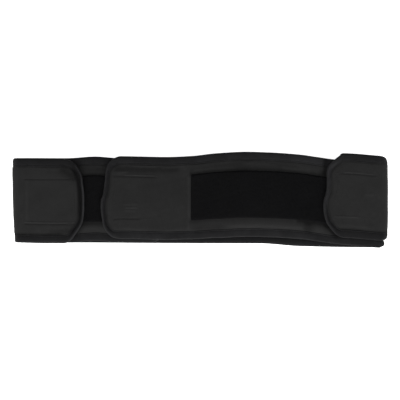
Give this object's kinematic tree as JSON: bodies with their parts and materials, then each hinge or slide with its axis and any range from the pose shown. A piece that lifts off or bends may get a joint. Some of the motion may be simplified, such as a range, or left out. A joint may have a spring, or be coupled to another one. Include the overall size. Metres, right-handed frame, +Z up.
{
  "type": "maternity support belt",
  "caption": "Closed padded maternity support belt laid flat: a wide band whose rounded flap overlaps its other end, with a pull strap folded over each side and brushed loop panels.",
  "frame": {"origin": "on the surface, under the middle of the laid belt's bounding box", "axes": "+X along the belt to the right strap's fold, +Y across it to its top edge, +Z up, out of the front"},
  "size_m": [0.539, 0.1374, 0.0331],
  "materials": {
    "face_cloth": "fine black knit over foam, matt",
    "binding_tape": "folded black edge binding, slightly smoother than the face",
    "loop_pile": "brushed black loop pile, very matt",
    "hook_tape": "black hook tape"
  },
  "bodies": {
    "root": {"main_band": "face_cloth", "left_strap": "face_cloth", "right_strap": "face_cloth", "main_band_binding": "binding_tape", "left_strap_binding": "binding_tape", "right_strap_binding": "binding_tape", "front_loop_panel": "loop_pile", "hidden_loop_panel": "loop_pile", "flap_hook_patch": "hook_tape", "left_hook_patch": "hook_tape", "right_hook_patch": "hook_tape"}
  },
  "joints": []
}
